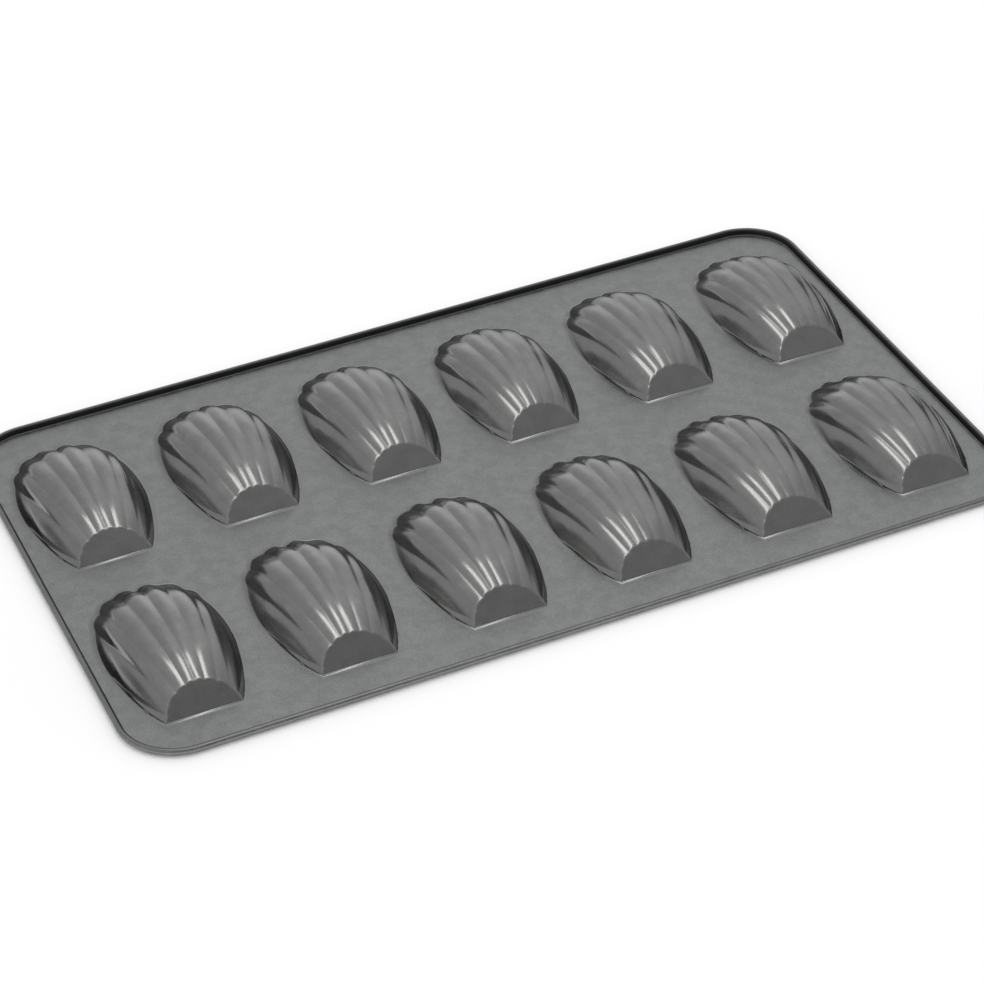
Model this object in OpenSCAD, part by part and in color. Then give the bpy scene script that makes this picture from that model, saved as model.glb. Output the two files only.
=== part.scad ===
// Madeleine pan, twelve shell cups in two rows, lying upside down with its cups standing up.
// The origin is on the surface it rests on, under the middle of the pan. X runs along the rows.

/* [Sheet and layout] */
// Thickness of the pressed steel sheet
sheet = 0.6; // [0.5:0.1:1]
// Cups in a row
cols = 6; // [3:1:8]
// Flat web between the widest points of neighbouring cups
gap_x = 10.6; // [6:0.2:16]
// Flat web between the two rows
gap_y = 19.6; // [8:0.2:30]
// From the end cups to the outside of the rim
end_margin = 7.4; // [6.5:0.1:25]
// From the long sides of the cup block to the outside of the rim
side_margin = 18.3; // [12:0.1:40]
// Outside radius of the pan's corners
corner_r = 23; // [12:0.5:26]

/* [Rolled rim] */
// Diameter of the wire inside the rim
wire_d = 1.1; // [1:0.1:1.8]
// Room between the wire and the sheet rolled round it
wire_gap = 0.05; // [0.02:0.01:0.15]
// How far the sheet is rolled round the wire, in degrees
roll_turn = 270; // [200:5:280]
// Height of the rim above the surface the pan rests on
rim_h = 3; // [2.8:0.1:5]
// Inside radius of the bend where the web turns up to the rim
rim_bend = 0.5; // [0.3:0.1:0.8]

/* [Shell cup] */
// Length of a cup, from its straight edge to the ends of the middle ribs
cup_len = 77.1; // [60:0.1:95]
// Greatest width of a cup
cup_w = 47.6; // [42:0.2:60]
// Height of a cup's crown above the web
cup_h = 13.2; // [11:0.1:17]
// Width of the straight edge at the narrow end
edge_w = 28.2; // [22:0.2:34]
// Height of the half moon face above the web
face_h = 8.3; // [6:0.1:10]
// Slope of the half moon face, in degrees
face_slope = 42; // [38:1:60]
// Height of the middle rib tips, where the ribs turn down to the far edge
tip_h = 9.4; // [7:0.1:10.4]
// Length of the slope from the middle rib tips down to the far edge
tip_run = 11.5; // [9:0.5:18]
// How far the bend over a rib tip reaches to each side of it
tip_round = 5.4; // [1:0.2:6]
// Depth of the valleys between the ribs at their tips
groove = 1.2; // [0.5:0.1:1.6]
// How far the end of a middle rib bulges past the valleys beside it
rib_bulge = 2.45; // [1:0.05:3.5]
// How much the middle of the crown leans towards the half moon face
crown_lean = 1.4; // [0:0.1:2.5]
// How far the valleys bow outwards at most, seen from above
valley_bow = 2.1; // [0:0.1:3]
// How far the middle ribs stand out round the half moon face
face_scallop = 0.45; // [0.1:0.05:0.6]
// Width of the pressed radius round a cup's mouth
mouth_r = 1.8; // [0.6:0.1:2.2]
// Width of the pressed radius along a cup's straight edge
edge_r = 0.9; // [0.4:0.1:1.2]

/* [Hidden] */

coat_grey = [0.36, 0.37, 0.36];
rim_grey = [0.24, 0.25, 0.25];
cup_grey = [0.46, 0.47, 0.46];
wire_grey = [0.70, 0.71, 0.72];

// Layout of the cups and the rim
pitch_x = cup_w + gap_x;
pitch_y = cup_len + gap_y;
pan_l = cols * cup_w + (cols - 1) * gap_x + 2 * end_margin;
pan_w = 2 * cup_len + gap_y + 2 * side_margin;
roll_inner_r = wire_d / 2 + wire_gap;
roll_r = roll_inner_r + sheet;
// The web ends at the bend line, and the rim outside it is rim_w wide
rim_w = rim_bend + 2 * roll_r;
bend_x = pan_l / 2 - rim_w;
bend_y = pan_w / 2 - rim_w;
bend_r = corner_r - rim_w;
// Middle of the wire, out from the bend line and up
wire_at = [rim_w - roll_r, rim_h - roll_r];

// Where the valleys between ribs reach the mouth, as shares of half the cup's width and of its
// length, from the middle valley outwards
valley_ends = [[0, 0.963], [0.36, 0.974], [0.68, 0.891], [0.854, 0.804], [0.998, 0.484]];
// How far a rib's end bulges, as shares of rib_bulge, from the middle rib outwards
bulge_shares = [1, 0.714, 0.408, 0.449, 0.612];
side_ribs = len(bulge_shares);
// How far each rib stands out round the half moon face, as shares of face_scallop
scallop_shares = [1, 1, 0.9, 0.4, 0.4];

// The lists below have a value for each valley, from the middle one outwards, and one for the
// corner of the half moon face. Where the valleys start round the face's rim:
face_valleys = [0, 0.18, 0.39, 0.64, 0.83, 1];
// Heights of the tips as shares of tip_h, and lengths of the slope behind them as shares of tip_run
tip_heights = [1, 1.03, 0.82, 0.58, 0.08, 0];
tip_runs = [1, 1.31, 1.02, 1.11, 1, 0.04];
// Rise of the crown as shares of the middle one, and its lean as shares of crown_lean
crown_rises = [1, 0.94, 1.06, 0.85, -0.07, 0];
crown_leans = [1, 0.643, 0.071, 0.071, 0, 0];
// Depths of the valleys as shares of groove. At the shoulder of the cup the valley is a fold.
valley_depths = [0.05, 0.28, 0.5, 1.33, -0.3, 0];
// How much deeper the valleys are halfway up the crown, also as shares of groove
crown_grooves = [0.167, 0.167, 0.125, 0, 0, 0];
// How far the valleys bow as shares of valley_bow
bows = [0, 0.286, 0.762, 1, 0.952, 0];
// The slope behind a tip takes at most this share of a rib, and the bend over the tip at most
// these shares of the parts before and behind it
slope_share = 0.6;
round_before = 0.35;
round_behind = 0.6;
// How the valleys deepen from the half moon face to the tips
groove_growth = 1.3;

// Steps across one rib, and the rows of points from the half moon face back to the mouth.
// A row is 0 at the face, 1 and 2 where the bend over the tips starts and ends.
rib_steps = 3;
steps = 2 * side_ribs * rib_steps;
rows = [0, 0.25, 0.5, 0.75, 1, 1.5, 2];

// The half moon face is part of a disc that leans back from the straight edge
face_rise = face_h / sin(face_slope);
face_r = (pow(edge_w / 2, 2) + pow(face_rise, 2)) / (2 * face_rise);
face_turn = acos((face_r - face_rise) / face_r);
crown_rise = cup_h - (face_h + tip_h) / 2;
// The inner skin's disc is a little smaller, for the bend in the sheet round the face
face_inset = sheet / 2;

function lobe(v) = 4 * v * (1 - v);
function side_of(s) = s < 0 ? -1 : 1;
function rib_of(s) = min(floor(abs(s) * side_ribs + 0.000001), side_ribs - 1);
function place_in_rib(s) = abs(s) * side_ribs - rib_of(s);
function valley_end(k) = k < side_ribs
    ? [valley_ends[k].x * cup_w / 2, valley_ends[k].y * cup_len]
    : [edge_w / 2, 0];
function between(values, s) =
    let (k = rib_of(s)) values[k] + (values[k + 1] - values[k]) * place_in_rib(s);

// Point on the rim of the half moon face, where s is -1 at its left corner and 1 at its right
function face_point(s, scallop) =
    let (r = face_r + scallop * scallop_shares[rib_of(s)] * lobe(place_in_rib(s)),
         turn = side_of(s) * between(face_valleys, s) * face_turn,
         rise = r * cos(turn) - face_r + face_rise)
    [r * sin(turn), rise * cos(face_slope), rise * sin(face_slope)];

// Point on the cup's mouth, where the rib at s runs out
function mouth_point(s, bulge = 1) =
    let (k = rib_of(s),
         a = valley_end(k),
         b = valley_end(k + 1),
         along = (b - a) / norm(b - a),
         v = place_in_rib(s),
         p = a + (b - a) * v + [-along.y, along.x] * bulge * rib_bulge * bulge_shares[k] * lobe(v))
    [side_of(s) * p.x, p.y];

// Length of the line from face to mouth at s seen from above, and its share up to the rib's tip
function line_run(s) = let (a = face_point(s, face_scallop)) norm(mouth_point(s) - [a.x, a.y]);
function tip_at(s) = 1 - min(tip_run * between(tip_runs, s) / line_run(s), slope_share);

// Point on the cup's outer skin with sharp tips, where row is 0 at the face, 1 at the tips and
// 2 at the mouth. With flutes 0 it is the plain shape under the ribs.
function sharp_skin(s, row, flutes) =
    let (a = face_point(s, face_scallop * flutes),
         reach = mouth_point(s) - [a.x, a.y],
         u = min(row, 1),
         w = max(row - 1, 0),
         t = tip_at(s) * u + (1 - tip_at(s)) * w,
         tip_z = tip_h * between(tip_heights, s),
         rise = crown_rise * between(crown_rises, s)
                + crown_lean * between(crown_leans, s) * (1 - 2 * u),
         depth = between(valley_depths, s) * pow(u, groove_growth) + between(crown_grooves, s) * lobe(u),
         valley = groove * depth * flutes * (1 - lobe(place_in_rib(s))),
         top_z = a.z + (tip_z - a.z) * u + rise * lobe(u) - valley,
         side = side_of(s) * valley_bow * between(bows, s) / line_run(s) * lobe(t))
    [a.x + reach.x * t + reach.y * side, a.y + reach.y * t - reach.x * side, top_z * (1 - w) + sheet];

// Point on the outer skin with a bend over the tips, where row is one of rows
function skin(s, row, flutes = 1) =
    let (top_run = line_run(s) * tip_at(s),
         start = 1 - min(tip_round / top_run, round_before),
         end = 1 + min(tip_round / (line_run(s) - top_run), round_behind),
         t = row - 1)
    row <= 1 ? sharp_skin(s, start * row, flutes)
    : pow(1 - t, 2) * sharp_skin(s, start, flutes) + 2 * t * (1 - t) * sharp_skin(s, 1, flutes)
      + t * t * sharp_skin(s, end, flutes);

// Direction square to the plain shape, pointing out of the metal
function skin_normal(s, row) =
    let (across = skin(min(s + 0.06, 0.999), row, 0) - skin(max(s - 0.06, -0.999), row, 0),
         down = skin(s, min(row + 0.05, 2), 0) - skin(s, max(row - 0.05, 0), 0),
         n = cross(across, down))
    n / norm(n);

// Direction square to the mouth's outline, pointing away from the cup
function mouth_normal(s) =
    let (d = mouth_point(min(s + 0.03, 1), 0.4) - mouth_point(max(s - 0.03, -1), 0.4))
    [-d.y, d.x] / norm(d);

// Direction from the mouth up the wall, and the wall's slope there in degrees
function wall_way(s) =
    let (b = mouth_point(s), d = skin(s, 2) - [b.x, b.y, sheet]) d / norm(d);
function wall_slope(s) = asin(wall_way(s).z);

// Each ring has a point for each place in fan and one at each end of the straight edge
fan = [for (i = [1:steps - 1]) 2 * i / steps - 1];
function ring(corner, middle) = concat([[-corner.x, corner.y, corner.z]], middle, [corner]);
function at_height(points, z) = [for (p = points) [p.x, p.y, z]];

corner_wall = [edge_w / 2, edge_r * cos(face_slope), sheet + edge_r * sin(face_slope)];
corner_mouth = [edge_w / 2 + 0.8 * edge_r, -edge_r, 0];
corner_inner = [edge_w / 2 - face_inset,
                sheet * (sin(face_slope) - (1 - cos(face_slope)) / tan(face_slope)), 0];

mouth_outline = [for (p = ring(corner_mouth,
    [for (s = fan) let (p = mouth_point(s) + mouth_normal(s) * mouth_r) [p.x, p.y, 0]]))
    [p.x, p.y]];
wall_ring = ring(corner_wall, [for (s = fan)
    let (b = mouth_point(s)) [b.x, b.y, sheet] + wall_way(s) * mouth_r]);
inner_mouth = ring(corner_inner, [for (s = fan)
    let (p = mouth_point(s) - mouth_normal(s) * sheet * tan(wall_slope(s) / 2))
    [p.x, p.y, 0]]);

function outer_ring(row) = ring(corner_wall, [for (s = fan) skin(s, row)]);
function inner_ring(row) = ring(corner_inner, [for (s = fan) row == 0
    ? let (p = face_point(s, face_scallop), k = 1 - face_inset / face_r)
      [p.x * k, p.y * k + sheet * sin(face_slope), p.z * k + sheet * (1 - cos(face_slope))]
    : skin(s, row) - skin_normal(s, row) * sheet]);

// Rings from the inner face, down the inside, round the mouth and up the outside to the face
rings = concat(
    [for (row = rows) inner_ring(row)],
    [inner_mouth, at_height(mouth_outline, 0), at_height(mouth_outline, sheet), wall_ring],
    [for (i = [len(rows) - 1:-1:0]) outer_ring(rows[i])]);
ring_size = steps + 1;
mouth_at = len(rows);
wall_at = mouth_at + 3;
last_at = len(rings) - 1;

// Rings inside the cup, and those above its wall outside, share their two end points
function shared(r) = r <= mouth_at ? mouth_at : r >= wall_at ? wall_at : r;
function point_at(r, i) = (i == 0 || i == steps ? shared(r) : r) * ring_size + i;
function triangle(a, b, c) = a == b || b == c || a == c ? [] : [[a, b, c]];

// Triangles between ring r and the next, closed across the straight edge
function band(r) = [for (i = [0:steps]) each
    let (j = (i + 1) % ring_size,
         a = point_at(r, i), b = point_at(r, j),
         c = point_at(r + 1, j), d = point_at(r + 1, i))
    shared(r) == shared(r + 1) && i == steps ? [] : concat(triangle(a, b, c), triangle(a, c, d))];

module cup_shell() {
    inner_face = [for (i = [steps:-1:0]) point_at(0, i)];
    outer_face = [for (i = [0:steps]) point_at(last_at, i)];
    polyhedron([for (r = rings) each r],
               concat([inner_face], [for (r = [0:last_at - 1]) each band(r)], [outer_face]));
}

function cup_place(n, row) =
    [(n - (cols + 1) / 2) * pitch_x, side_margin - pan_w / 2 + row * pitch_y, 0];

// The pan's flat outline inside the bend line
module bend_outline() {
    square([2 * (bend_x - bend_r), 2 * bend_y], center = true);
    square([2 * bend_x, 2 * (bend_y - bend_r)], center = true);
    for (x = [-1, 1], y = [-1, 1])
        translate([x * (bend_x - bend_r), y * (bend_y - bend_r)]) circle(bend_r, $fn = 96);
}

// Carries a flat profile, drawn out from the bend line and up, all the way round the rim
module around_rim() {
    run_x = bend_x - bend_r;
    run_y = bend_y - bend_r;
    for (turn = [0, 180]) rotate(turn) {
        translate([-run_x, bend_y, 0]) rotate([90, 0, 90]) linear_extrude(2 * run_x) children();
        translate([bend_x, run_y, 0]) rotate([90, 0, 0]) linear_extrude(2 * run_y) children();
    }
    for (x = [0, 1], y = [0, 1]) mirror([x, 0, 0]) mirror([0, y, 0])
        translate([run_x, run_y, 0])
            rotate_extrude(angle = 90, $fn = 96) translate([bend_r, 0]) children();
}

// The sheet turns up from the web, stands up and rolls outwards over the wire
module rim_profile() {
    bend_up = sheet + rim_bend;
    // The slit below runs from the roll's lip on round to the sheet that stands up
    lip = 180 - roll_turn;
    slit_mid = (lip - 180) / 2;
    past_roll = 2 * roll_r;
    intersection() {
        translate([0, bend_up]) difference() {
            circle(bend_up, $fn = 48);
            circle(rim_bend, $fn = 48);
        }
        square(bend_up);
    }
    translate([rim_bend, bend_up]) square([sheet, wire_at.y - bend_up]);
    translate(wire_at) difference() {
        circle(roll_r, $fn = 48);
        circle(roll_inner_r, $fn = 48);
        polygon(past_roll * [[0, 0], [-1, 0], 1.5 * [cos(slit_mid), sin(slit_mid)],
                             [cos(lip), sin(lip)]]);
    }
}

module web() {
    color(coat_grey) linear_extrude(sheet) difference() {
        bend_outline();
        for (n = [1:cols], row = [0, 1]) translate(cup_place(n, row)) polygon(mouth_outline);
    }
}

module rolled_rim() {
    color(rim_grey) around_rim() rim_profile();
}

module rim_wire() {
    color(wire_grey) around_rim() translate(wire_at) circle(d = wire_d, $fn = 48);
}

module cup_near(n) {
    color(cup_grey) translate(cup_place(n, 0)) cup_shell();
}

module cup_far(n) {
    color(cup_grey) translate(cup_place(n, 1)) cup_shell();
}

web();
rolled_rim();
rim_wire();
for (n = [1:cols]) {
    cup_near(n);
    cup_far(n);
}
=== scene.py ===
"""Madeleine pan with a dark non-stick coat, lying upside down with its shell cups standing up.

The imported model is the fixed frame. The pressed pieces are built again here from the same sizes,
with finer ribs and rounded bends, and they stand for the nodes of the same names. Sizes are in
millimetres until a mesh is made, and every mesh is in metres.
"""

import logging
import math
from dataclasses import dataclass, field
from enum import Enum

import bmesh
import bpy
import numpy as np
from mathutils import Matrix, Vector
from mathutils.geometry import tessellate_polygon


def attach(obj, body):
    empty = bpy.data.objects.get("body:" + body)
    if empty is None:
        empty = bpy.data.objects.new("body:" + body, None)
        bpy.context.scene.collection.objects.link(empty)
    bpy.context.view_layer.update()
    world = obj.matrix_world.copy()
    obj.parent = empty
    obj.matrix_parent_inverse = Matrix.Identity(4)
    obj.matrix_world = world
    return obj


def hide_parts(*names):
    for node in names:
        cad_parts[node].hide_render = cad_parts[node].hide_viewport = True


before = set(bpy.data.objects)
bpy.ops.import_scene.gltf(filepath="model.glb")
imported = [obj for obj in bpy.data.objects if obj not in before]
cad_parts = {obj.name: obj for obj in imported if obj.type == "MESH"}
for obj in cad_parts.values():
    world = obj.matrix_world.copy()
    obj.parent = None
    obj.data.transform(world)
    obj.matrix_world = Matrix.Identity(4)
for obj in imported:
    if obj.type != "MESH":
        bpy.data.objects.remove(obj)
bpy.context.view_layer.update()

logging.basicConfig(level=logging.INFO, format="%(message)s")
log = logging.getLogger("madeleine_pan")

MM = 0.001
WELD = 0.00001
CREST = "rib_crest"
# Mask of painted shade: down the cups' walls, over their tips' bend and in the rim's corner
SHADE_WALL = "painted_shade_wall"

Triple = tuple[float, float, float]


class CupRow(Enum):
    """The two rows of cups."""

    NEAR = 0
    FAR = 1


class Slot(Enum):
    """Material slots of the record."""

    WEB = "coated_web"
    CUP = "coated_cup"
    RIM = "coated_rim"


def arch(share: np.ndarray | float) -> np.ndarray | float:
    """Height of an arch that rises from 0 at both ends to 1 in its middle."""
    return 4 * share * (1 - share)


def solid(colour: Triple) -> tuple[float, float, float, float]:
    """An opaque colour for a shader's socket."""
    return (*colour, 1)


def grey(shade: float) -> tuple[float, float, float, float]:
    """An opaque grey for a shader's socket."""
    return solid((shade, shade, shade))


def curve_round(start: np.ndarray, corner: np.ndarray, end: np.ndarray, steps: int) -> list[np.ndarray]:
    """Rounds a corner between two rings of points.

    Args:
        start: Points where the bend starts.
        corner: Points of the sharp corner.
        end: Points where the bend ends.
        steps: Number of rings to make.

    Returns:
        The rings after start, the last of which is end.
    """
    shares = [(i + 1) / steps for i in range(steps)]
    return [(1 - t) ** 2 * start + 2 * t * (1 - t) * corner + t * t * end for t in shares]


def to_object(
    name: str,
    points: np.ndarray,
    faces: list[tuple[int, ...]],
    smooth: bool = True,
    masks: dict[str, np.ndarray] | None = None,
) -> bpy.types.Object:
    """Makes a mesh object from points in millimetres.

    Args:
        name: Name of the piece.
        points: Its points, one a row.
        faces: Its faces, as indices of points.
        smooth: Whether its faces are shaded smooth.
        masks: Values kept on the points for its finish, by name.

    Returns:
        The new object, linked to the scene.
    """
    mesh = bpy.data.meshes.new(name)
    mesh.from_pydata((points * MM).tolist(), [], faces)
    for mask, values in (masks or {}).items():
        layer = mesh.attributes.new(mask, "FLOAT", "POINT")
        layer.data.foreach_set("value", np.asarray(values, dtype=np.float32))
    work = bmesh.new()
    work.from_mesh(mesh)
    bmesh.ops.remove_doubles(work, verts=work.verts, dist=WELD * MM)
    bmesh.ops.recalc_face_normals(work, faces=work.faces)
    work.to_mesh(mesh)
    work.free()
    mesh.polygons.foreach_set("use_smooth", [smooth] * len(mesh.polygons))
    piece = bpy.data.objects.new(name, mesh)
    bpy.context.scene.collection.objects.link(piece)
    return piece


def apply_modifiers(piece: bpy.types.Object) -> None:
    """Puts the result of a piece's modifiers into its mesh.

    Args:
        piece: The piece, which is left with no modifier.
    """
    bpy.context.view_layer.update()
    final = piece.evaluated_get(bpy.context.evaluated_depsgraph_get())
    shaped = bpy.data.meshes.new_from_object(final)
    piece.modifiers.clear()
    old = piece.data
    piece.data = shaped
    shaped.name = piece.name
    bpy.data.meshes.remove(old)


def stand_for(piece: bpy.types.Object, node: str, slot: Slot, finish: bpy.types.Material) -> None:
    """Dresses a piece and puts it in its node's place.

    Args:
        piece: The piece.
        node: The node that it stands for.
        slot: The record's slot of its finish.
        finish: Its material.
    """
    piece.data.materials.clear()
    piece.data.materials.append(finish)
    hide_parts(node)
    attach(piece, "root")
    log.info("%s: %d faces, %s", piece.name, len(piece.data.polygons), slot.value)


@dataclass(frozen=True)
class CupForm:
    """The fluted shell form that every cup has, with its straight edge along the local X axis.

    A tuple has a value for each rib or valley, from the middle outwards. The crown is a little
    lower than the node's, so that its finer ribs stay inside the node's box.
    """

    sheet: float = 0.6
    length: float = 77.1
    width: float = 47.6
    height: float = 13.12
    edge: float = 28.2
    face_height: float = 8.3
    face_slope: float = math.radians(42)
    tip_height: float = 9.4
    tip_run: float = 11.5
    groove: float = 1.2
    face_scallop: float = 0.45
    mouth_r: float = 1.8
    edge_r: float = 0.9
    # Where the valleys reach the mouth, as shares of half the width and of the length
    valley_ends: tuple[tuple[float, float], ...] = (
        (0, 0.963), (0.36, 0.974), (0.68, 0.891), (0.854, 0.804), (0.998, 0.484),
    )
    scallop_shares: tuple[float, ...] = (1, 1, 0.9, 0.4, 0.4)
    rib_bulges: tuple[float, ...] = (2.45, 1.75, 1.0, 1.1, 1.5)
    face_valleys: tuple[float, ...] = (0, 0.18, 0.39, 0.64, 0.83, 1)
    tip_heights: tuple[float, ...] = (1, 1.03, 0.82, 0.58, 0.08, 0)
    tip_runs: tuple[float, ...] = (1, 1.31, 1.02, 1.11, 1, 0.04)
    crown_rises: tuple[float, ...] = (1, 0.94, 1.06, 0.85, -0.07, 0)
    crown_leans: tuple[float, ...] = (1.4, 0.9, 0.1, 0.1, 0, 0)
    valley_depths: tuple[float, ...] = (0.05, 0.28, 0.5, 1.33, -0.3, 0)
    crown_grooves: tuple[float, ...] = (0.2, 0.2, 0.15, 0, 0, 0)
    bows: tuple[float, ...] = (0, 0.6, 1.6, 2.1, 2.0, 0)
    groove_growth: float = 1.3
    # Width of a valley's bend, as a share of a rib
    crease: float = 0.04
    # The slope behind a tip and the bends before it and behind it, and the most they may take up
    slope_share: float = 0.6
    tip_round: float = 5.4
    round_before: float = 0.35
    round_behind: float = 0.6
    # The bend round the half moon face, which is tighter towards the face's corners
    face_round: float = 0.7
    face_share: float = 0.25
    taper_rate: float = 8.0
    least_taper: float = 0.6
    # The band beside the face and the mouth that stays flat, for a clean shade there
    flat_band: float = 0.12
    # How far a corner of the mouth lies outside the straight edge's end, as a share of its radius
    corner_spread: float = 0.8
    # How far apart the mouth's direction is taken, and the share of the ribs' bulge in it
    mouth_reach: float = 0.03
    mouth_share: float = 0.4
    # Numbers of points and rings, and where the last point before the corner is
    rib_steps: int = 12
    last_place: float = 0.8
    top_rings: int = 18
    ring_growth: float = 1.15
    tip_steps: int = 8
    wall_rings: int = 3
    round_steps: int = 5
    # Share of painted shade at the end of the bend over the tips, from where it rises to full down the
    # wall
    tip_painted_shade: float = 0.5

    def lobe(self, place: np.ndarray) -> np.ndarray:
        """Height of a rib across its width, from 0 in its valleys to 1, with soft valleys.

        Args:
            place: Place across the rib, from 0 to 1.

        Returns:
            The height at each place.
        """
        near = np.minimum(place, 1 - place)
        soft = np.sqrt(near**2 + self.crease**2) - self.crease
        full = math.sqrt(0.25 + self.crease**2) - self.crease
        return arch(0.5 * soft / full)

    def fan(self) -> np.ndarray:
        """Lays out places across the ribs, closer together at valleys.

        Returns:
            The places, from -1 at the face's left corner to 1 at its right one.
        """
        ribs = len(self.rib_bulges)
        across = (1 - np.cos(np.pi * np.arange(self.rib_steps + 1) / self.rib_steps)) / 2
        right = [(k + across[:-1]) / ribs for k in range(ribs - 1)]
        right.append((ribs - 1 + across * self.last_place) / ribs)
        half = np.concatenate(right)
        return np.concatenate([-half[:0:-1], half])

    def rib_at(self, s: np.ndarray) -> tuple[np.ndarray, np.ndarray]:
        """Finds the rib at a place of the fan.

        Args:
            s: Places in the fan.

        Returns:
            The number of the rib, from the middle outwards, and the place across it.
        """
        ribs = len(self.rib_bulges)
        number = np.minimum(np.floor(np.abs(s) * ribs + 1e-6), ribs - 1).astype(int)
        return number, np.clip(np.abs(s) * ribs - number, 0, 1)

    def between(self, values: tuple[float, ...], s: np.ndarray) -> np.ndarray:
        """Value of a list of the valleys' values at places of the fan.

        Args:
            values: A value for each valley, from the middle one outwards, and for the face's corner.
            s: Places in the fan.

        Returns:
            The value at each place.
        """
        return np.interp(np.abs(s) * len(self.rib_bulges), np.arange(len(values)), values)

    def face_rise(self) -> float:
        """Height of the half moon face along its own slope."""
        return self.face_height / math.sin(self.face_slope)

    def face_r(self) -> float:
        """Radius of the disc that the half moon face is cut from."""
        rise = self.face_rise()
        return ((self.edge / 2) ** 2 + rise**2) / (2 * rise)

    def face_point(self, s: np.ndarray, scallop: float, inset: np.ndarray | float = 0.0) -> np.ndarray:
        """Points on the rim of the half moon face.

        Args:
            s: Places in the fan.
            scallop: How far the ribs stand out.
            inset: How far inside the rim the points are.

        Returns:
            The points, one a row.
        """
        radius = self.face_r()
        turn = math.acos((radius - self.face_rise()) / radius)
        number, place = self.rib_at(s)
        shares = np.array(self.scallop_shares)[number]
        r = radius + scallop * shares * self.lobe(place) - inset
        angle = np.sign(s) * self.between(self.face_valleys, s) * turn
        rise = r * np.cos(angle) - radius + self.face_rise()
        y, z = rise * math.cos(self.face_slope), rise * math.sin(self.face_slope)
        return np.stack([r * np.sin(angle), y, z + self.sheet], axis=1)

    def mouth_point(self, s: np.ndarray, bulge: float = 1.0) -> np.ndarray:
        """Points on the cup's mouth, where the ribs run out.

        Args:
            s: Places in the fan.
            bulge: Share of the ribs' bulge.

        Returns:
            The points, one a row, on the web's upper side.
        """
        ends = [(x * self.width / 2, y * self.length) for x, y in self.valley_ends]
        ends = np.array([*ends, (self.edge / 2, 0)])
        number, place = self.rib_at(s)
        start, end = ends[number], ends[number + 1]
        along = end - start
        along = along / np.linalg.norm(along, axis=1, keepdims=True)
        out = np.stack([-along[:, 1], along[:, 0]], axis=1)
        bulges = np.array(self.rib_bulges)[number] * bulge * self.lobe(place)
        flat = start + (end - start) * place[:, None] + out * bulges[:, None]
        x = np.where(s < 0, -1, 1) * flat[:, 0]
        return np.stack([x, flat[:, 1], np.full(len(s), self.sheet)], axis=1)

    def mouth_out(self, s: np.ndarray) -> np.ndarray:
        """Directions square to the mouth's outline, pointing away from the cup.

        Args:
            s: Places in the fan.

        Returns:
            The directions, one a row.
        """
        after = self.mouth_point(np.minimum(s + self.mouth_reach, 1), self.mouth_share)
        before = self.mouth_point(np.maximum(s - self.mouth_reach, -1), self.mouth_share)
        along = after - before
        out = np.stack([-along[:, 1], along[:, 0], np.zeros(len(s))], axis=1)
        return out / np.linalg.norm(out, axis=1, keepdims=True)

    def tip_at(self, s: np.ndarray) -> tuple[np.ndarray, np.ndarray]:
        """Finds where the ribs turn down to the mouth.

        Args:
            s: Places in the fan.

        Returns:
            The length of each line from face to mouth, and the share of it up to the tip.
        """
        line = self.mouth_point(s) - self.face_point(s, self.face_scallop)
        run = np.linalg.norm(line[:, :2], axis=1)
        tip_run = self.tip_run * self.between(self.tip_runs, s)
        return run, 1 - np.minimum(tip_run / run, self.slope_share)

    def skin(self, s: np.ndarray, row: np.ndarray | float) -> np.ndarray:
        """Points on the outer skin, with sharp tips.

        Args:
            s: Places in the fan.
            row: 0 at the half moon face, 1 at the rib tips and 2 at the mouth.

        Returns:
            The points, one a row.
        """
        a = self.face_point(s, self.face_scallop)
        b = self.mouth_point(s)
        run, tip_at = self.tip_at(s)
        up = np.minimum(row, 1)
        down = np.maximum(row - 1, 0)
        t = tip_at * up + (1 - tip_at) * down
        face_z = a[:, 2] - self.sheet
        tip_z = self.tip_height * self.between(self.tip_heights, s)
        crown = self.height - (self.face_height + self.tip_height) / 2
        rise = crown * self.between(self.crown_rises, s) + self.between(self.crown_leans, s) * (1 - 2 * up)
        top = face_z + (tip_z - face_z) * up + rise * arch(up)
        depth = self.groove * self.between(self.valley_depths, s) * up**self.groove_growth
        depth = depth + self.between(self.crown_grooves, s) * arch(up)
        valley = depth * (1 - self.lobe(self.rib_at(s)[1]))
        z = (top - valley) * (1 - down) + self.sheet
        side = np.where(s < 0, -1, 1) * self.between(self.bows, s) / run * arch(t)
        x = a[:, 0] + (b[:, 0] - a[:, 0]) * t + (b[:, 1] - a[:, 1]) * side
        y = a[:, 1] + (b[:, 1] - a[:, 1]) * t - (b[:, 0] - a[:, 0]) * side
        return np.stack([x, y, z], axis=1)

    def corner(self, x_out: float, along_face: float, flat_out: float) -> np.ndarray:
        """A point near the right corner of the straight edge.

        Args:
            x_out: Distance outside the corner.
            along_face: Distance up the half moon face.
            flat_out: Distance in front of the straight edge.

        Returns:
            The point.
        """
        slope = self.face_slope
        return np.array([
            self.edge / 2 + x_out,
            along_face * math.cos(slope) - flat_out,
            along_face * math.sin(slope) + self.sheet,
        ])

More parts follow.
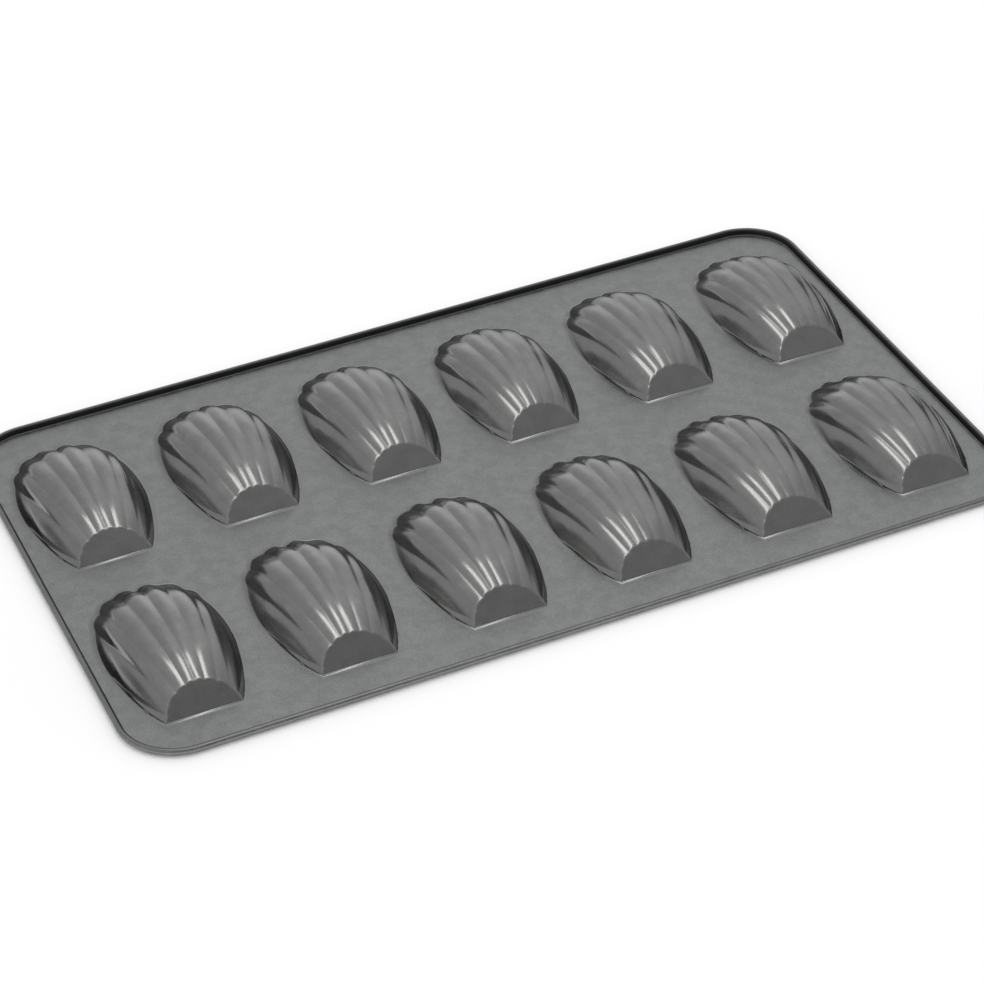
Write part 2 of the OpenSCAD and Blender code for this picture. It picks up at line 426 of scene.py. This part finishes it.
    def rings(self) -> tuple[list[np.ndarray], list[np.ndarray], list[float]]:
        """Rings of points from the half moon face out to the web.

        Returns:
            The rings, the right corner of each ring, and how deep down the wall each is.
        """
        s = self.fan()
        run, tip_at = self.tip_at(s)
        far_from_corner = (1 - self.between(self.face_valleys, s)) * self.taper_rate
        bend = self.face_round * np.clip(far_from_corner, self.least_taper, 1)
        first = np.minimum(bend / (run * tip_at), self.face_share)
        before = 1 - np.minimum(self.tip_round / (run * tip_at), self.round_before)
        after = 1 + np.minimum(self.tip_round / (run * (1 - tip_at)), self.round_behind)
        mouth, out = self.mouth_point(s), self.mouth_out(s)
        lower = self.skin(s, after)
        wall_way = (lower - mouth) / np.linalg.norm(lower - mouth, axis=1, keepdims=True)
        wall = mouth + wall_way * self.mouth_r
        edge, steps = self.face_point(s, self.face_scallop), self.round_steps
        inner_edge = self.face_point(s, self.face_scallop, bend)
        rings = [self.face_point(s, self.face_scallop, bend + self.flat_band), inner_edge]
        rings += curve_round(inner_edge, edge, self.skin(s, first), steps)
        for i in range(self.top_rings):
            share = ((i + 1) / self.top_rings) ** self.ring_growth
            rings.append(self.skin(s, first + (before - first) * share))
        # Depths set the painted shade: none on the crown, rising over the tips' bend and down the wall,
        # fading out over the mouth's bend
        depths = [0.0] * len(rings)
        rings += curve_round(rings[-1], self.skin(s, 1.0), lower, self.tip_steps)
        depths += [self.tip_painted_shade * (i + 1) / self.tip_steps for i in range(self.tip_steps)]
        for i in range(self.wall_rings):
            share = (i + 1) / self.wall_rings
            rings.append(lower + (wall - lower) * share)
            depths.append(self.tip_painted_shade + (1 - self.tip_painted_shade) * share)
        corner_wall = self.corner(0, self.edge_r, 0)
        corners = [self.corner(-self.flat_band, self.edge_r + self.flat_band, 0)]
        corners += [corner_wall] * (len(rings) - 1)
        flat_mouth, flat_edge = self.mouth_r - self.flat_band, self.edge_r - self.flat_band
        rings += curve_round(wall, mouth, mouth + out * flat_mouth, steps)
        flat_corner = self.corner(self.corner_spread * flat_edge, 0, flat_edge)
        corners += curve_round(corner_wall, self.corner(0, 0, 0), flat_corner, steps)
        depths += [1 - (i + 1) / steps for i in range(steps)]
        rings.append(mouth + out * self.mouth_r)
        corners.append(self.corner(self.corner_spread * self.edge_r, 0, self.edge_r))
        depths.append(0.0)
        return rings, corners, depths

    def outline(self) -> np.ndarray:
        """Finds where the cup meets the web.

        Returns:
            The points of the closed outline, one a row.
        """
        rings, corners, _ = self.rings()
        right = corners[-1]
        left = right * [-1, 1, 1]
        return np.concatenate([[left], rings[-1], [right]])

    def surface(self) -> tuple[np.ndarray, list[tuple[int, ...]], dict[str, np.ndarray]]:
        """The outer side of the cup's sheet.

        Returns:
            Its points, its faces and the masks for its finish and its painted shade.
        """
        rings, corners, depths = self.rings()
        s = self.fan()
        size = len(s) + 2
        points, crest, wall = [], [], []
        lobes = self.lobe(self.rib_at(s)[1])
        for ring, corner, depth in zip(rings, corners, depths, strict=True):
            points += [corner * [-1, 1, 1], *ring, corner]
            crest += [0.5, *lobes, 0.5]
            wall += [depth] * size
        faces: list[tuple[int, ...]] = [tuple(range(size))]
        for r in range(len(rings) - 1):
            a, b = r * size, (r + 1) * size
            faces += [(a + i, b + i, b + i + 1, a + i + 1) for i in range(size - 1)]
            if not np.allclose(corners[r], corners[r + 1]):
                faces.append((a + size - 1, b + size - 1, b, a))
        return np.array(points), faces, {CREST: np.array(crest), SHADE_WALL: np.array(wall)}


@dataclass(frozen=True)
class PanLayout:
    """Where the cups and the rim are."""

    form: CupForm = field(default_factory=CupForm)
    columns: int = 6
    gap_x: float = 10.6
    gap_y: float = 19.6
    end_margin: float = 7.4
    side_margin: float = 18.3
    corner_r: float = 23.0
    wire_r: float = 0.55
    wire_gap: float = 0.05
    rim_h: float = 3.0
    rim_bend: float = 0.5

    @property
    def roll_r(self) -> float:
        """Outside radius of the rolled rim's section."""
        return self.wire_r + self.wire_gap + self.form.sheet

    @property
    def rim_w(self) -> float:
        """Width of the rim outside the bend line."""
        return self.rim_bend + 2 * self.roll_r

    @property
    def length(self) -> float:
        """Length of the pan."""
        return self.columns * self.form.width + (self.columns - 1) * self.gap_x + 2 * self.end_margin

    @property
    def width(self) -> float:
        """Width of the pan."""
        return 2 * self.form.length + self.gap_y + 2 * self.side_margin

    def cup_place(self, column: int, row: CupRow) -> np.ndarray:
        """Place of a cup's straight edge.

        Args:
            column: Number of the cup in its row, from 1.
            row: The cup's row.

        Returns:
            The middle of the straight edge.
        """
        x = (column - (self.columns + 1) / 2) * (self.form.width + self.gap_x)
        y = self.side_margin - self.width / 2 + row.value * (self.form.length + self.gap_y)
        return np.array([x, y, 0.0])

    def rim_line(self, corner_steps: int) -> tuple[np.ndarray, np.ndarray]:
        """The line round the pan where the sheet turns up to the rim.

        Args:
            corner_steps: Number of steps round a corner.

        Returns:
            The points of the line and its directions out of the pan, one a row.
        """
        reach = self.corner_r - self.rim_w
        middle_x = self.length / 2 - self.rim_w - reach
        middle_y = self.width / 2 - self.rim_w - reach
        points, outs = [], []
        for turn, (side_x, side_y) in enumerate(((1, 1), (-1, 1), (-1, -1), (1, -1))):
            for step in range(corner_steps + 1):
                angle = math.radians(90 * (turn + step / corner_steps))
                out = np.array([math.cos(angle), math.sin(angle)])
                points.append(np.array([side_x * middle_x, side_y * middle_y]) + reach * out)
                outs.append(out)
        return np.array(points), np.array(outs)


@dataclass
class ShellCup:
    """One shell cup of the pressing."""

    layout: PanLayout
    column: int
    row: CupRow
    # Faces that meet at more than this angle keep a sharp edge between them
    sharp_from: float = math.radians(40)

    @property
    def name(self) -> str:
        """Name of the cup's node."""
        return f"cup_{self.row.name.lower()}_{self.column}"

    def build(self) -> bpy.types.Object:
        """Builds the cup from its outer side and the sheet's thickness.

        Returns:
            The cup.
        """
        points, faces, masks = self.layout.form.surface()
        place = self.layout.cup_place(self.column, self.row)
        piece = to_object(f"{self.name}_shell", points + place, faces, masks=masks)
        thick = piece.modifiers.new("sheet", "SOLIDIFY")
        thick.thickness = self.layout.form.sheet * MM
        thick.offset = -1
        apply_modifiers(piece)
        piece.data.set_sharp_from_angle(angle=self.sharp_from)
        return piece

    def dress(self, piece: bpy.types.Object, finish: bpy.types.Material) -> None:
        """Gives the cup its finish and its node's place."""
        stand_for(piece, self.name, Slot.CUP, finish)


@dataclass
class WebSheet:
    """The flat sheet between the cups."""

    layout: PanLayout
    corner_steps: int = 32

    def build(self) -> bpy.types.Object:
        """Builds the web with a hole for each cup.

        Returns:
            The web.
        """
        line, _ = self.layout.rim_line(self.corner_steps)
        loops = [line]
        for row in CupRow:
            for column in range(1, self.layout.columns + 1):
                hole = self.layout.form.outline() + self.layout.cup_place(column, row)
                loops.append(hole[:, :2])
        flat = np.concatenate(loops)
        count = len(flat)
        sheet = self.layout.form.sheet
        upper, under = np.c_[flat, np.full(count, sheet)], np.c_[flat, np.zeros(count)]
        triangles = tessellate_polygon([[Vector((x, y, 0)) for x, y in loop] for loop in loops])
        faces = [tuple(t) for t in triangles]
        faces += [tuple(i + count for i in reversed(t)) for t in triangles]
        start = 0
        for loop in loops:
            for i in range(len(loop)):
                j = (i + 1) % len(loop)
                faces.append((start + i, start + j, start + j + count, start + i + count))
            start += len(loop)
        return to_object("web_sheet", np.concatenate([upper, under]), faces, smooth=False)

    def dress(self, piece: bpy.types.Object, finish: bpy.types.Material) -> None:
        """Gives the web its finish and its node's place."""
        stand_for(piece, "web", Slot.WEB, finish)


@dataclass
class RolledRim:
    """The sheet's edge, turned up and rolled outwards over the wire."""

    layout: PanLayout
    roll_turn: float = 270.0
    # Keeps the roll just inside its node's box
    slack: float = 0.01
    # Turns of the roll, in degrees, between which the painted shade fades from full to none
    full_shade_until: float = 50.0
    no_shade_from: float = 100.0
    wear: float = 0.75
    bend_steps: int = 8
    round_steps: int = 40
    lip_steps: int = 6
    corner_steps: int = 32

    def profile(self) -> np.ndarray:
        """Draws the rim's section, out from the bend line and up.

        Returns:
            The points of its closed outline, one a row.
        """
        layout = self.layout
        wire = np.array([layout.rim_w - layout.roll_r, layout.rim_h - layout.roll_r])
        outer, inner = layout.roll_r - self.slack, layout.roll_r - layout.form.sheet
        bend_up = layout.rim_bend + layout.form.sheet
        foot = np.array([0, bend_up])
        quarter = np.radians(-90 + 90 * np.arange(self.bend_steps + 1) / self.bend_steps)
        bend = np.stack([np.cos(quarter), np.sin(quarter)], axis=1)
        turns = np.radians(180 - self.roll_turn * np.arange(self.round_steps + 1) / self.round_steps)
        way = np.stack([np.cos(turns), np.sin(turns)], axis=1)
        end, ahead = way[-1], np.array([way[-1][1], -way[-1][0]])
        middle, half = (outer + inner) / 2, (outer - inner) / 2
        angles = np.pi * np.arange(1, self.lip_steps + 1) / (self.lip_steps + 1)
        lip = [end * (middle + half * math.cos(a)) + ahead * half * math.sin(a) for a in angles]
        outside = [foot + bend * layout.rim_bend, wire + way * outer]
        inside = [wire + way[::-1] * inner, foot + bend[::-1] * bend_up]
        return np.concatenate([*outside, wire + lip, *inside])

    def depth(self) -> np.ndarray:
        """Finds how much shade is painted, full in the corner behind the roll and over its inner side,
        fading out before its crown.

        Returns:
            The depth at each point of the section.
        """
        corner = np.minimum(1, 2 * np.arange(self.bend_steps + 1) / self.bend_steps)
        turned = self.roll_turn * np.arange(self.round_steps + 1) / self.round_steps
        over = np.clip((self.no_shade_from - turned) / (self.no_shade_from - self.full_shade_until), 0, 1)
        unseen = np.zeros(self.lip_steps + len(over) + len(corner))
        return np.concatenate([corner, over, unseen])

    def build(self) -> bpy.types.Object:
        """Builds the rim by carrying its section round the pan.

        Returns:
            The rim.
        """
        line, outs = self.layout.rim_line(self.corner_steps)
        section = self.profile()
        size = len(section)
        points = []
        for spot, out in zip(line, outs, strict=True):
            flat = spot + section[:, :1] * out
            points.append(np.c_[flat, section[:, 1]])
        faces = []
        for i in range(len(line)):
            a, b = i * size, (i + 1) % len(line) * size
            faces += [(a + k, b + k, b + (k + 1) % size, a + (k + 1) % size) for k in range(size)]
        # The wall mask paints near-black shade on the corner behind the roll and on the roll's inner side
        masks = {CREST: np.full(len(line) * size, self.wear), SHADE_WALL: np.tile(self.depth(), len(line))}
        return to_object("rim_roll", np.concatenate(points), faces, masks=masks)

    def dress(self, piece: bpy.types.Object, finish: bpy.types.Material) -> None:
        """Gives the rim its finish and its node's place."""
        stand_for(piece, "rolled_rim", Slot.RIM, finish)


class Wiring:
    """Short calls to place and join the nodes of one tree."""

    def __init__(self, tree: bpy.types.NodeTree) -> None:
        """Takes the tree to fill."""
        self.tree = tree

    def feed(self, socket: bpy.types.NodeSocket, value: object) -> None:
        """Joins an input to another node's output, or sets it to a value.

        Args:
            socket: The input.
            value: The output to join it to, or the value.
        """
        if isinstance(value, bpy.types.NodeSocket):
            self.tree.links.new(value, socket)
        else:
            socket.default_value = value

    def node(self, kind: str, settings: dict | None = None, values: dict | None = None) -> bpy.types.Node:
        """Places a node.

        Args:
            kind: Type of the node.
            settings: Its properties.
            values: Values or links of its inputs, by name or number.

        Returns:
            The node.
        """
        made = self.tree.nodes.new(kind)
        for key, value in (settings or {}).items():
            setattr(made, key, value)
        for key, value in (values or {}).items():
            self.feed(made.inputs[key], value)
        return made

    def math(self, operation: str, a: object, b: object, clamp: bool = False) -> bpy.types.NodeSocket:
        """Places a Math node.

        Args:
            operation: The node's operation.
            a: Its first value or link.
            b: Its second value or link.
            clamp: Whether the result is kept from 0 to 1.

        Returns:
            The node's output.
        """
        settings = {"operation": operation, "use_clamp": clamp}
        return self.node("ShaderNodeMath", settings, {0: a, 1: b}).outputs[0]

    def span(
        self, value: bpy.types.NodeSocket, low: float, high: float, to_low: float, to_high: float
    ) -> bpy.types.NodeSocket:
        """Maps a range of a value to another with soft ends.

        Args:
            value: The output that gives the value.
            low: Start of its range.
            high: End of its range.
            to_low: Result at the start.
            to_high: Result at the end.

        Returns:
            The node's output.
        """
        limits = {"From Min": low, "From Max": high, "To Min": to_low, "To Max": to_high}
        soft = {"interpolation_type": "SMOOTHSTEP"}
        return self.node("ShaderNodeMapRange", soft, {"Value": value, **limits}).outputs["Result"]

    def tint(self, share: object, a: object, b: object, blend: str = "MIX") -> bpy.types.NodeSocket:
        """Mixes two colours.

        Args:
            share: Value or link of the second colour's share.
            a: The first colour or its link.
            b: The second colour or its link.
            blend: How the colours are mixed.

        Returns:
            The node's colour output.
        """
        settings = {"data_type": "RGBA", "blend_type": blend}
        return self.node("ShaderNodeMix", settings, {0: share, 6: a, 7: b}).outputs[2]


class EffectGroup:
    """A node group with named inputs and outputs that several finishes share."""

    def __init__(self, name: str, inputs: dict[str, float], outputs: list[str]) -> None:
        """Makes the group and its sockets.

        Args:
            name: Name of the group.
            inputs: Inputs and their usual values.
            outputs: Names of the outputs.
        """
        self.tree = bpy.data.node_groups.new(name, "ShaderNodeTree")
        for key, value in inputs.items():
            socket = self.new_socket(key, "INPUT")
            socket.default_value = value
        for key in outputs:
            self.new_socket(key, "OUTPUT")
        self.wiring = Wiring(self.tree)
        self.given = self.tree.nodes.new("NodeGroupInput").outputs
        self.result = self.tree.nodes.new("NodeGroupOutput").inputs

    def new_socket(self, key: str, way: str) -> bpy.types.NodeTreeInterfaceSocket:
        """Makes a socket for a number."""
        return self.tree.interface.new_socket(key, in_out=way, socket_type="NodeSocketFloat")

    def put_out(self, key: str, value: bpy.types.NodeSocket) -> None:
        """Joins a value to one of the outputs."""
        self.tree.links.new(value, self.result[key])

    def place(self, wiring: Wiring, **values: float) -> bpy.types.Node:
        """Places the group in a finish.

        Args:
            wiring: The finish's wiring.
            **values: Values of its inputs, with _ for a space.

        Returns:
            The node.
        """
        made = wiring.node("ShaderNodeGroup", {"node_tree": self.tree})
        for key, value in values.items():
            made.inputs[key.replace("_", " ")].default_value = value
        return made


def sprayed_grain() -> EffectGroup:
    """The fine grain and the soft mottling of a sprayed coat.

    Returns:
        The group, with outputs Grain, Mottle and Height.
    """
    sizes = {"Grain Size": 0.4, "Mottle Size": 6.0}
    group = EffectGroup("sprayed_grain", sizes, ["Grain", "Mottle", "Height"])
    w = group.wiring
    place = w.node("ShaderNodeTexCoord").outputs["Object"]
    fine = w.math("DIVIDE", 1 / MM, group.given["Grain Size"])
    wide = w.math("DIVIDE", 1 / MM, group.given["Mottle Size"])
    fine_noise = {"Vector": place, "Scale": fine, "Detail": 2.0, "Roughness": 0.6}
    wide_noise = {"Vector": place, "Scale": wide, "Detail": 3.0, "Roughness": 0.55}
    grain = w.node("ShaderNodeTexNoise", None, fine_noise).outputs["Fac"]
    mottle = w.node("ShaderNodeTexNoise", None, wide_noise).outputs["Fac"]
    usual = (0.3, 0.7)
    group.put_out("Grain", w.span(grain, *usual, 0, 1))
    group.put_out("Mottle", w.span(mottle, *usual, 0, 1))
    group.put_out("Height", grain)
    return group


def rib_shade_and_wear() -> EffectGroup:
    """Painted shade in the valleys and down the walls of a cup, and rubbed wear on the crests of its ribs.

    Returns:
        The group, with an output of painted shade for valleys and walls, and Rubbed.
    """
    group = EffectGroup("rib_shade_and_wear", {"Valley Width": 0.3, "Patch Size": 5.0}, ["Deep", "Rubbed"])
    w = group.wiring
    crest = w.node("ShaderNodeAttribute", {"attribute_name": CREST}).outputs["Fac"]
    wall = w.node("ShaderNodeAttribute", {"attribute_name": SHADE_WALL}).outputs["Fac"]
    valley = w.math("SUBTRACT", 1.0, w.math("DIVIDE", crest, group.given["Valley Width"]), clamp=True)
    place = w.node("ShaderNodeTexCoord").outputs["Object"]
    wide = w.math("DIVIDE", 1 / MM, group.given["Patch Size"])
    patch = w.node("ShaderNodeTexNoise", None, {"Vector": place, "Scale": wide, "Detail": 4.0})
    patchy_from, crest_from = (0.5, 0.72), (0.6, 1.0)
    patchy = w.span(patch.outputs["Fac"], *patchy_from, 0, 1)
    rubbed = w.math("MULTIPLY", patchy, w.span(crest, *crest_from, 0, 1))
    # Painted shade: darkest in the valleys and down the walls
    group.put_out("Deep", w.math("MAXIMUM", valley, wall))
    group.put_out("Rubbed", w.math("MULTIPLY", rubbed, w.math("SUBTRACT", 1.0, wall)))
    return group


@dataclass(frozen=True)
class ShadeAndWearTone:
    """Shade painted darker on a coat in its valleys and down its walls, and the look of its rubbed wear.
    """

    # Painted shade: the darker colour laid where the form is low and shaded
    deep: Triple
    rubbed: Triple
    painted_shade_share: float = 0.25
    deep_rough: float = 0.06


@dataclass(frozen=True)
class CoatFinish:
    """A dark non-stick coat sprayed on steel sheet."""

    name: str
    colour: Triple
    roughness: float
    shade_and_wear: ShadeAndWearTone | None = None
    grain_size: float = 0.4
    grain_share: float = 0.10
    mottle_share: float = 0.06
    rough_share: float = 0.08
    bump: float = 0.08
    edge_tint: float = 0.5

    def build(self, grain: EffectGroup, shade_wear_group: EffectGroup) -> bpy.types.Material:
        """Builds the material.

        Args:
            grain: The group of the sprayed grain.
            shade_wear_group: The group of the ribs' painted shade and wear.

        Returns:
            The material.
        """
        made = bpy.data.materials.new(self.name)
        made.use_nodes = True
        w = Wiring(made.node_tree)
        shader = made.node_tree.nodes["Principled BSDF"].inputs
        spray = grain.place(w, Grain_Size=self.grain_size).outputs
        colour: object = solid(self.colour)
        rough_low, rough_high = [self.roughness * (1 + way * self.rough_share) for way in (-1, 1)]
        rough = w.span(spray["Mottle"], 0, 1, rough_low, rough_high)
        # Darker colour here is painted shade in valleys and down walls; lighter patches on crests are
        # rubbed wear
        if self.shade_and_wear:
            ribs = shade_wear_group.place(w).outputs
            deep = w.math("MULTIPLY", ribs["Deep"], self.shade_and_wear.painted_shade_share)
            colour = w.tint(deep, colour, solid(self.shade_and_wear.deep))
            colour = w.tint(ribs["Rubbed"], colour, solid(self.shade_and_wear.rubbed))
            rough = w.math("ADD", rough, w.math("MULTIPLY", ribs["Deep"], self.shade_and_wear.deep_rough))
        speck = w.span(spray["Grain"], 0, 1, 1 - self.grain_share, 1 + self.grain_share)
        patch = w.span(spray["Mottle"], 0, 1, 1 - self.mottle_share, 1 + self.mottle_share)
        shade = w.math("MULTIPLY", speck, patch)
        speckle = w.node("ShaderNodeCombineColor", None, {0: shade, 1: shade, 2: shade}).outputs[0]
        relief = {"Strength": self.bump, "Distance": self.grain_size * MM, "Height": spray["Height"]}
        w.feed(shader["Base Color"], w.tint(1.0, colour, speckle, "MULTIPLY"))
        w.feed(shader["Roughness"], rough)
        w.feed(shader["Normal"], w.node("ShaderNodeBump", None, relief).outputs["Normal"])
        shader["Metallic"].default_value = 1.0
        shader["Specular Tint"].default_value = grey(self.edge_tint)
        return made


@dataclass(frozen=True)
class WireFinish:
    """Bare drawn steel wire."""

    name: str = "drawn_steel"
    colour: Triple = (0.60, 0.60, 0.61)
    roughness: float = 0.3
    mark_size: float = 0.2
    patch_size: float = 3.0
    mark_share: float = 0.3
    mark_shade: float = 0.7
    rough_shares: tuple[float, float] = (0.8, 1.3)

    def build(self, grain: EffectGroup) -> bpy.types.Material:
        """Builds the material.

        Args:
            grain: The group of the sprayed grain, used for the wire's fine draw marks.

        Returns:
            The material.
        """
        made = bpy.data.materials.new(self.name)
        made.use_nodes = True
        w = Wiring(made.node_tree)
        shader = made.node_tree.nodes["Principled BSDF"].inputs
        marks = grain.place(w, Grain_Size=self.mark_size, Mottle_Size=self.patch_size).outputs
        share = w.span(marks["Grain"], 0, 1, 0, self.mark_share)
        marked = solid(tuple(c * self.mark_shade for c in self.colour))
        w.feed(shader["Base Color"], w.tint(share, solid(self.colour), marked))
        low, high = [self.roughness * share for share in self.rough_shares]
        w.feed(shader["Roughness"], w.span(marks["Mottle"], 0, 1, low, high))
        shader["Metallic"].default_value = 1.0
        return made


@dataclass(frozen=True)
class Softbox:
    """A level lamp over the pan. Its place and its sizes along X and Y are in metres."""

    name: str = "softbox"
    at: Triple = (0.21, 0.10, 1.76)
    size: tuple[float, float] = (0.3, 1.4)
    power: float = 3.0
    colour: Triple = (1.0, 0.985, 0.95)

    def build(self) -> None:
        """Hangs the lamp."""
        lamp = bpy.data.lights.new(self.name, "AREA")
        lamp.shape = "RECTANGLE"
        lamp.size, lamp.size_y = self.size
        lamp.energy = self.power
        lamp.color = self.colour
        spot = bpy.data.objects.new(self.name, lamp)
        spot.location = self.at
        bpy.context.scene.collection.objects.link(spot)


@dataclass(frozen=True)
class Floor:
    """The pale paper under the pan. Its half side is in metres."""

    shade: float = 0.9
    half: float = 4.0
    # Keeps the paper just clear of the pan, in millimetres
    drop: float = 0.15
    roughness: float = 0.9

    def build(self) -> None:
        """Lays the floor."""
        half, z = self.half, -self.drop * MM
        corners = [(x * half, y * half, z) for x, y in ((-1, -1), (1, -1), (1, 1), (-1, 1))]
        mesh = bpy.data.meshes.new("floor")
        mesh.from_pydata(corners, [], [(0, 1, 2, 3)])
        floor = bpy.data.objects.new("floor", mesh)
        bpy.context.scene.collection.objects.link(floor)
        paper = bpy.data.materials.new("pale_paper")
        paper.use_nodes = True
        shader = paper.node_tree.nodes["Principled BSDF"].inputs
        shader["Base Color"].default_value = grey(self.shade)
        shader["Roughness"].default_value = self.roughness
        shader["Specular IOR Level"].default_value = 0.0
        mesh.materials.append(paper)


@dataclass(frozen=True)
class Room:
    """The even light of the room, and the greys that the metal mirrors all round the pan.

    A stop is a place round the pan and its grey. Places go from 0 at the camera's side over 0.25 at
    the left, 0.5 at the far side and 0.75 at the right, back to 1.
    """

    fill: float = 1.04
    backdrop: float = 0.985
    # Level directions that point to the far side and to the right, seen from the camera
    far_side: tuple[float, float] = (0.379, 0.925)
    right_side: tuple[float, float] = (0.925, -0.379)
    low: tuple[tuple[float, float], ...] = (
        (0.0, 0.08), (0.105, 0.12), (0.167, 0.42), (0.217, 0.40), (0.24, 0.22), (0.285, 0.22),
        (0.31, 0.50), (0.397, 0.55), (0.438, 0.80), (0.488, 1.4), (0.538, 1.0), (0.563, 0.12),
        (0.613, 0.12), (0.638, 0.40), (0.738, 0.42), (0.855, 0.30), (0.91, 0.12), (1.0, 0.08),
    )
    high: tuple[tuple[float, float], ...] = (
        (0.0, 0.10), (0.07, 0.50), (0.12, 0.70), (0.18, 0.47), (0.25, 0.50), (0.40, 0.50),
        (0.46, 0.58), (0.495, 0.72), (0.53, 0.70), (0.588, 0.68), (0.638, 0.47), (0.74, 0.42),
        (0.855, 0.29), (0.91, 0.15), (1.0, 0.10),
    )
    top: float = 0.55
    # Heights between which the low band turns into the high one, and the high one into the top
    high_from: tuple[float, float] = (0.20, 0.42)
    top_from: tuple[float, float] = (0.77, 0.97)
    # The greys are divided by this in a ramp, which holds none above 1
    peak: float = 1.5

    def ramp(
        self, w: Wiring, place: bpy.types.NodeSocket, stops: tuple[tuple[float, float], ...]
    ) -> bpy.types.NodeSocket:
        """Places a ramp of greys.

        Args:
            w: The world's wiring.
            place: The place in the ramp, from 0 to 1.
            stops: Places and their greys.

        Returns:
            The ramp's colour output.
        """
        made = w.node("ShaderNodeValToRGB", None, {"Fac": place})
        band = made.color_ramp
        for i, (at, shade) in enumerate(stops):
            stop = band.elements[i] if i < 2 else band.elements.new(at)
            stop.position = at
            stop.color = grey(shade / self.peak)
        return w.tint(1.0, made.outputs["Color"], grey(self.peak), "MULTIPLY")

    def place_round(self, w: Wiring, way: bpy.types.NodeSocket) -> bpy.types.NodeSocket:
        """Finds the place round the pan of a direction.

        Args:
            w: The world's wiring.
            way: The direction.

        Returns:
            The output that gives the place, from 0 to 1.
        """
        dot = {"operation": "DOT_PRODUCT"}
        far = w.node("ShaderNodeVectorMath", dot, {0: way, 1: (*self.far_side, 0)}).outputs["Value"]
        right = w.node("ShaderNodeVectorMath", dot, {0: way, 1: (*self.right_side, 0)}).outputs["Value"]
        return w.math("ADD", w.math("DIVIDE", w.math("ARCTAN2", right, far), 2 * math.pi), 0.5)

    def build(self) -> None:
        """Makes the world."""
        world = bpy.data.worlds.new("studio")
        world.use_nodes = True
        bpy.context.scene.world = world
        w = Wiring(world.node_tree)
        way = w.node("ShaderNodeTexCoord").outputs["Generated"]
        height = w.node("ShaderNodeSeparateXYZ", None, {0: way}).outputs[2]
        place = self.place_round(w, way)
        low, high = self.ramp(w, place, self.low), self.ramp(w, place, self.high)
        mirrored = w.tint(w.span(height, *self.high_from, 0, 1), low, high)
        mirrored = w.tint(w.span(height, *self.top_from, 0, 1), mirrored, grey(self.top))
        path = w.node("ShaderNodeLightPath").outputs
        colour = w.tint(path["Is Glossy Ray"], grey(self.fill), mirrored)
        colour = w.tint(path["Is Camera Ray"], colour, grey(self.backdrop))
        w.feed(w.tree.nodes["Background"].inputs["Color"], colour)


@dataclass(frozen=True)
class Viewpoint:
    """The camera at the photograph's angle. Its places are in metres, and its lens in millimetres."""

    at: Triple = (-0.3757, -0.9185, 0.7341)
    aim: Triple = (-0.0047, -0.01505, 0.0006)
    roll: float = math.radians(2.75)
    lens: float = 118.65
    sensor: float = 36.0

    def build(self) -> None:
        """Makes the camera and gives it to the scene."""
        away = (Vector(self.at) - Vector(self.aim)).normalized()
        right = (-away).cross(Vector((0, 0, 1))).normalized()
        down = (-away).cross(right)
        turned_right = right * math.cos(self.roll) + down * math.sin(self.roll)
        turned_down = down * math.cos(self.roll) - right * math.sin(self.roll)
        lens = bpy.data.cameras.new("camera")
        lens.lens = self.lens
        lens.sensor_width = self.sensor
        camera = bpy.data.objects.new("camera", lens)
        turn = Matrix((turned_right, -turned_down, away)).transposed().to_4x4()
        camera.matrix_world = Matrix.Translation(Vector(self.at)) @ turn
        bpy.context.scene.collection.objects.link(camera)
        bpy.context.scene.camera = camera


WEB_COAT = CoatFinish("web_coat", (0.31, 0.325, 0.32), 0.36)
# The darker of the cup's two extra colours is painted shade in valleys and down walls; the paler is rubbed
# wear
CUP_COAT = CoatFinish(
    "cup_coat", (0.30, 0.305, 0.30), 0.20, ShadeAndWearTone((0.24, 0.245, 0.24), (0.34, 0.34, 0.33)),
    grain_share=0.05, mottle_share=0.03, bump=0.015,
)
# The rim's near-black colour is painted shade on the corner behind the roll and its inner side; the pale
# one is rubbed wear
RIM_COAT = CoatFinish(
    "rim_coat", (0.28, 0.285, 0.28), 0.46,
    ShadeAndWearTone((0.06, 0.06, 0.06), (0.38, 0.38, 0.38), painted_shade_share=1.0),
)


def main() -> None:
    """Builds and dresses every piece, then the floor, the light and the camera."""
    layout = PanLayout()
    grain, shade_wear_group = sprayed_grain(), rib_shade_and_wear()
    web = WebSheet(layout)
    web.dress(web.build(), WEB_COAT.build(grain, shade_wear_group))
    cup_coat = CUP_COAT.build(grain, shade_wear_group)
    for row in CupRow:
        for column in range(1, layout.columns + 1):
            cup = ShellCup(layout, column, row)
            cup.dress(cup.build(), cup_coat)
    rim = RolledRim(layout)
    rim.dress(rim.build(), RIM_COAT.build(grain, shade_wear_group))
    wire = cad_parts["rim_wire"]
    steel = WireFinish().build(grain)
    wire.data.materials.clear()
    wire.data.materials.append(steel)
    log.info("rim_wire: kept, %s", steel.name)
    for part in (Floor(), Room(), Softbox(), Viewpoint()):
        part.build()
    bpy.context.scene.view_settings.view_transform = "Standard"


if __name__ == "__main__":
    main()
